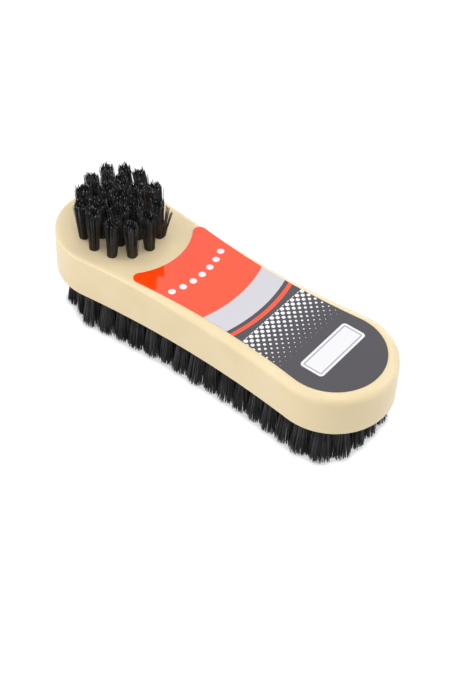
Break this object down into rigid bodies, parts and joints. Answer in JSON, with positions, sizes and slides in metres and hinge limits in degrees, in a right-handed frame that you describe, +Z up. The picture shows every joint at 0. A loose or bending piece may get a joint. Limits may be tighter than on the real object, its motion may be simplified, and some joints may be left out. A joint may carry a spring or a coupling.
{
  "type": "shoe polishing brush",
  "caption": "Hand-held shoe brush: a waisted plastic block with a wide black polishing brush under it, a small round applicator brush on its toe end and a printed label on its deck.",
  "frame": {"origin": "middle of the footprint, on the plane of the sole's bristle tips", "axes": "+X along the block from the applicator end (toe) to the heel, +Y across the block, +Z up from the sole to the applicator brush"},
  "size_m": [0.16, 0.05, 0.0564],
  "materials": {
    "block": "satin moulded cream plastic",
    "label": "glossy printed film in orange, light grey and dark grey",
    "bristle": "black synthetic filament",
    "anchor_wire": "drawn flat wire"
  },
  "bodies": {
    "root": {"handle_block": "block", "label": "label", "sole_outer_row": "bristle", "sole_inner_row": "bristle", "sole_centre_row": "bristle", "applicator_bristles": "bristle", "applicator_anchor_01": "anchor_wire", "applicator_anchor_02": "anchor_wire", "applicator_anchor_03": "anchor_wire", "applicator_anchor_04": "anchor_wire", "applicator_anchor_05": "anchor_wire", "applicator_anchor_06": "anchor_wire", "applicator_anchor_07": "anchor_wire", "applicator_anchor_08": "anchor_wire", "applicator_anchor_09": "anchor_wire", "applicator_anchor_10": "anchor_wire", "applicator_anchor_11": "anchor_wire", "applicator_anchor_12": "anchor_wire", "applicator_anchor_13": "anchor_wire", "applicator_anchor_14": "anchor_wire", "applicator_anchor_15": "anchor_wire", "applicator_anchor_16": "anchor_wire", "applicator_anchor_17": "anchor_wire", "applicator_anchor_18": "anchor_wire", "applicator_anchor_19": "anchor_wire"}
  },
  "joints": []
}
